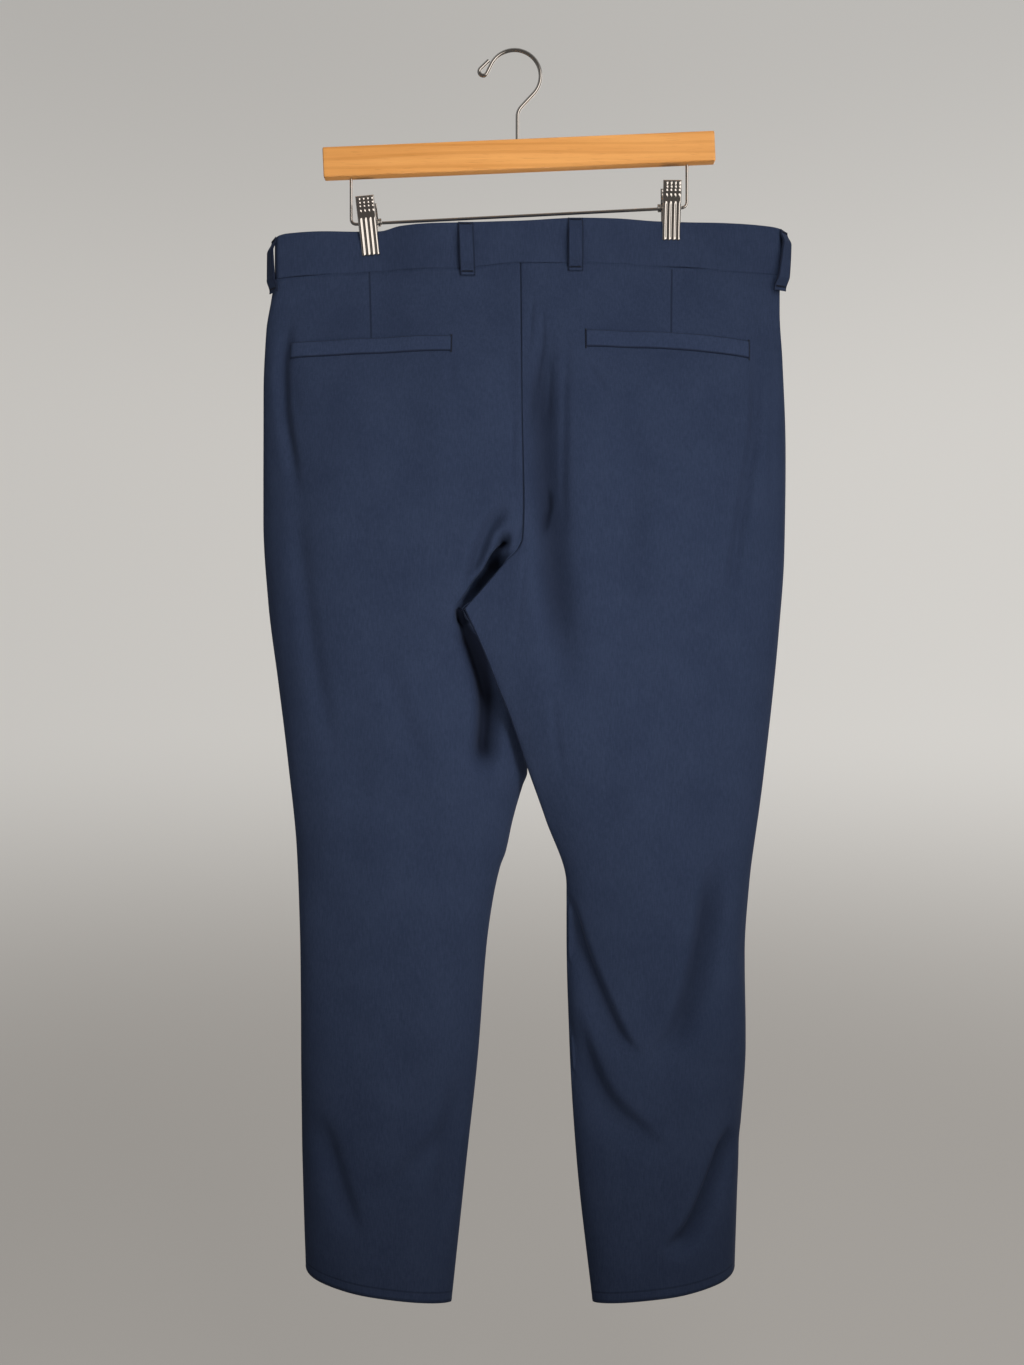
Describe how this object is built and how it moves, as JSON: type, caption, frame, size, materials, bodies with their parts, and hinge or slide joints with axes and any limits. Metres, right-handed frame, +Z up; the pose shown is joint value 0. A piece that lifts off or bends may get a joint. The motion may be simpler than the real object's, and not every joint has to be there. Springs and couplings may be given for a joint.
{
  "type": "chinos on a clip hanger",
  "caption": "Slim twill chinos with belt loops and welted back pockets, hung by the waistband from a wooden bar hanger with a wire hook and pinch clips.",
  "frame": {"origin": "inside top of the hook, where a rail carries the hanger", "axes": "+Z up, along the hang; the seat of the trousers faces -Y; +X is to the right of someone who looks at the seat"},
  "size_m": [0.5295, 0.0874, 1.2467],
  "materials": {
    "twill": "matte cotton twill, dark navy",
    "button": "satin",
    "wood": "honey varnish, satin",
    "chrome": "polished"
  },
  "bodies": {
    "root": {"back_left": "twill", "back_right": "twill", "front_left": "twill", "front_right": "twill", "band_back": "twill", "band_front_left": "twill", "band_front_right": "twill", "loop_back_left": "twill", "loop_back_right": "twill", "loop_side_left": "twill", "loop_side_right": "twill", "loop_front_left": "twill", "loop_front_right": "twill", "welt_left": "twill", "welt_right": "twill", "pocket_edge_left": "twill", "pocket_edge_right": "twill", "fly": "twill", "waist_button": "button", "hanger_bar": "wood", "hanger_hook": "chrome", "hanger_rod": "chrome", "jaw_back_left": "chrome", "jaw_front_left": "chrome", "clip_spring_left": "chrome", "jaw_back_right": "chrome", "jaw_front_right": "chrome", "clip_spring_right": "chrome"}
  },
  "joints": []
}
